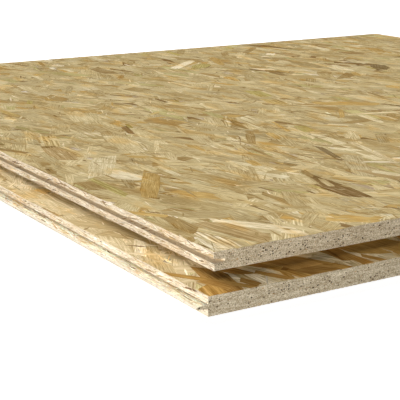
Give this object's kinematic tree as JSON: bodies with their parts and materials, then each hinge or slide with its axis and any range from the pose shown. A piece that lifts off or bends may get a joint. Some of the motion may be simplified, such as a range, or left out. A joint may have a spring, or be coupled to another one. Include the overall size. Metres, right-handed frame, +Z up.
{
  "type": "stack of osb panels",
  "caption": "Stack of tongue-and-groove OSB panels lying flat, the upper one set back at the front edge and one end.",
  "frame": {"origin": "centre of the stack's bounding box, on the underside of the lower panel", "axes": "+X along the tongues and grooves, towards the end where the upper panel is set back, +Y away from the front edge, +Z up"},
  "size_m": [1.306, 1.303, 0.0363],
  "materials": {
    "osb": "pressed wood strands under a thin wax and resin sheen, with matt milled long edges and sawn ends"
  },
  "bodies": {
    "root": {"lower_panel": "osb", "upper_panel": "osb"}
  },
  "joints": []
}
